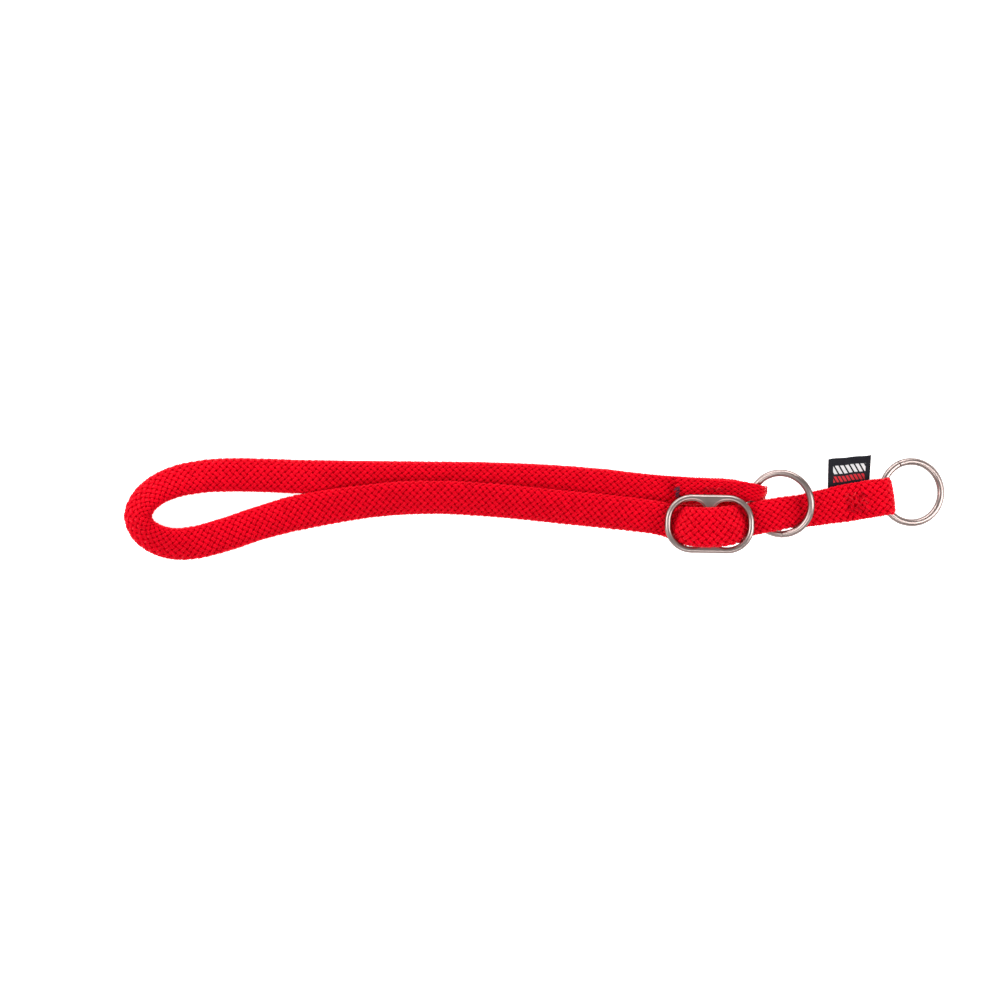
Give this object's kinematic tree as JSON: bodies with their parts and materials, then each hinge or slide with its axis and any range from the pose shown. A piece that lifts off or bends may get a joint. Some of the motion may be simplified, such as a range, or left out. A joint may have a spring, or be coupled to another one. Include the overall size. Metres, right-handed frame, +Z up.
{
  "type": "braided rope slip collar",
  "caption": "Flat braided rope slip collar with a leash ring, a slip ring for the noose, a slide stop and a woven side label.",
  "frame": {"origin": "under the middle of the collar's bounding box, on the surface it lies on", "axes": "+X along the laid-out collar towards the leash ring, +Y towards the far strand and the label, +Z up"},
  "size_m": [0.3762, 0.048, 0.0189],
  "materials": {
    "braid": "glossy nylon braid",
    "thread": "polyester sewing thread",
    "dark_thread": "polyester sewing thread",
    "label": "woven satin label",
    "steel": "satin nickel-plated"
  },
  "bodies": {
    "neck_loop": {"neck_strap": "braid", "leash_end_strap": "braid", "woven_label": "label", "leash_end_stitching": "thread"},
    "stop": {"stop_slider": "steel", "strap_over_bar": "braid"},
    "slip_end": {"slip_end_strap": "braid", "slip_end_stitching": "thread", "slip_end_bartack": "dark_thread"},
    "slip_ring": {"slip_ring": "steel"},
    "leash_ring": {"leash_ring": "steel"}
  },
  "joints": [
    {"name": "leash_ring_swing", "type": "hinge", "parent": "neck_loop", "child": "leash_ring", "pos_m": [0.15979, 0.00474, 0.00645], "axis": [0.1392, -0.9903, 0], "range_deg": [-80, 100]},
    {"name": "slip_end_slide", "type": "slide", "parent": "neck_loop", "child": "slip_end", "axis": [0.9885, 0.1513, 0], "range_m": [0, 0.004]},
    {"name": "slip_ring_swing", "type": "hinge", "parent": "slip_end", "child": "slip_ring", "pos_m": [0.10129, 0.00694, 0.0066], "axis": [-0.3103, -0.9193, -0.2421], "range_deg": [-0.3, 2.3]},
    {"name": "stop_slide", "type": "slide", "parent": "neck_loop", "child": "stop", "axis": [-0.9962, 0.0872, 0], "range_m": [0, 0.012], "deforming": ["strap_over_bar"]}
  ]
}
